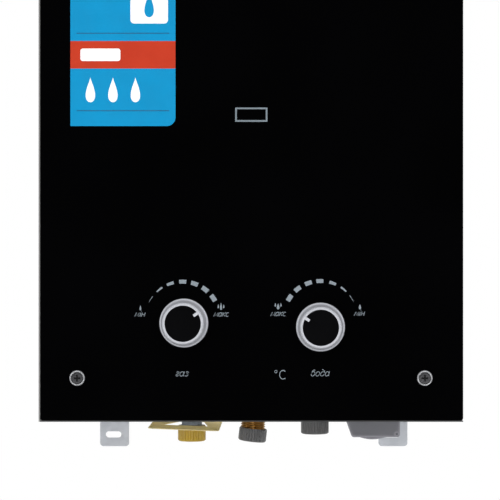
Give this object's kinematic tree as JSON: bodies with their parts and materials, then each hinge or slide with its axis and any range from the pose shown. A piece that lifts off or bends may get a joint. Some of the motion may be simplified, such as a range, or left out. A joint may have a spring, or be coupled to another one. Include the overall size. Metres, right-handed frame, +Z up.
{
  "type": "tankless gas water heater",
  "caption": "Wall-hung flued instantaneous gas water heater with a black glass front, control knobs, capped pipe connections and a battery box underneath.",
  "frame": {"origin": "on the wall plane, midway between the two upper hanging holes", "axes": "+X to the right seen from the front, +Y into the wall, +Z up"},
  "size_m": [0.34, 0.1585, 0.6578],
  "materials": {
    "black_glass": "back-painted black, polished",
    "cover_paint": "silver-grey powder coat",
    "zinc_sheet": "zinc plated",
    "foam_tape": "closed-cell foam",
    "clear_pane": "clear",
    "black_plastic": "moulded, glossy",
    "chrome_trim": "polished",
    "screw_steel": "plated",
    "knob_silver": "satin silver plating",
    "copper_sheet": "drawn copper",
    "stainless": "pressed stainless steel",
    "cast_alloy": "die cast",
    "brass_fitting": "turned",
    "black_rubber": "moulded",
    "white_ceramic": "fired, unglazed",
    "dark_plastic": "moulded",
    "grey_plastic": "moulded, fine grain",
    "yellow_cap": "soft polyethylene",
    "grey_cap": "soft polyethylene",
    "khaki_card": "uncoated card",
    "cell_case": "printed sleeve",
    "silicone_lead": "silicone"
  },
  "bodies": {
    "heater": {"back_plate": "zinc_sheet", "cover_posts": "zinc_sheet", "front_cover": "cover_paint", "glass_panel": "black_glass", "glass_tape": "foam_tape", "sight_glass": "clear_pane", "display_module": "black_plastic", "cover_screws": "screw_steel", "cup_washers": "chrome_trim", "draft_hood": "zinc_sheet", "flue_collar": "zinc_sheet", "spill_thermostat": "dark_plastic", "exchanger_jacket": "copper_sheet", "exchanger_fins": "copper_sheet", "fin_tube": "copper_sheet", "water_coil": "copper_sheet", "hot_pipe": "copper_sheet", "cold_feed_pipe": "copper_sheet", "overheat_thermostat": "dark_plastic", "exchanger_brackets": "zinc_sheet", "burner_frame": "zinc_sheet", "burner_bars": "stainless", "gas_manifold": "cast_alloy", "injectors": "brass_fitting", "electrode_insulators": "white_ceramic", "electrode_rods": "stainless", "gas_riser": "zinc_sheet", "gas_valve_body": "cast_alloy", "gas_solenoid": "dark_plastic", "gas_inlet": "zinc_sheet", "water_valve_body": "brass_fitting", "water_valve_cover": "brass_fitting", "diaphragm": "black_rubber", "microswitch": "dark_plastic", "cold_inlet": "brass_fitting", "hot_outlet": "brass_fitting", "drain_plug": "brass_fitting", "valve_screws": "screw_steel", "valve_bracket": "zinc_sheet", "connection_bracket": "zinc_sheet", "igniter_box": "dark_plastic", "ignition_lead": "silicone_lead", "battery_box": "grey_plastic", "lid_hinge_pin": "screw_steel", "batteries": "cell_case", "battery_contacts": "screw_steel"},
    "gas_control": {"gas_knob": "knob_silver", "gas_knob_disc": "black_plastic", "gas_spindle": "brass_fitting"},
    "water_control": {"water_knob": "knob_silver", "water_knob_disc": "black_plastic", "water_spindle": "brass_fitting"},
    "lid": {"battery_lid": "grey_plastic", "lid_contact": "screw_steel"},
    "gas_cap_off": {"gas_cap": "yellow_cap", "gas_tag": "khaki_card"},
    "hot_cap_off": {"hot_cap": "grey_cap"},
    "cold_cap_off": {"cold_cap": "grey_cap"},
    "push_rod": {"push_rod": "stainless"},
    "switch_lever": {"switch_lever": "stainless"}
  },
  "joints": [
    {"name": "gas_knob_turn", "type": "hinge", "parent": "heater", "child": "gas_control", "pos_m": [-0.0537, -0.14, -0.529], "axis": [0, -1, 0], "range_deg": [0, 112]},
    {"name": "water_knob_turn", "type": "hinge", "parent": "heater", "child": "water_control", "pos_m": [0.0556, -0.14, -0.5322], "axis": [0, 1, 0], "range_deg": [0, 112]},
    {"name": "battery_lid_swing", "type": "hinge", "parent": "heater", "child": "lid", "pos_m": [0.1189, -0.062, -0.6214], "axis": [0, -1, 0], "range_deg": [0, 100]},
    {"name": "gas_cap_pull", "type": "slide", "parent": "heater", "child": "gas_cap_off", "axis": [0, 0, -1], "range_m": [0, 0.04]},
    {"name": "hot_cap_pull", "type": "slide", "parent": "heater", "child": "hot_cap_off", "axis": [0, 0, -1], "range_m": [0, 0.04]},
    {"name": "cold_cap_pull", "type": "slide", "parent": "heater", "child": "cold_cap_off", "axis": [0, 0, -1], "range_m": [0, 0.04]},
    {"name": "push_rod_slide", "type": "slide", "parent": "heater", "child": "push_rod", "axis": [-1, 0, 0], "range_m": [0, 0.004], "stiffness_N_per_m": 400},
    {"name": "switch_lever_swing", "type": "hinge", "parent": "heater", "child": "switch_lever", "pos_m": [0.0033, -0.07, -0.5102], "axis": [0, 1, 0], "range_deg": [0, 16]}
  ],
  "couplings": [
    {"joint": "switch_lever_swing", "follows": "push_rod_slide", "rad_per_m": 65.45}
  ]
}
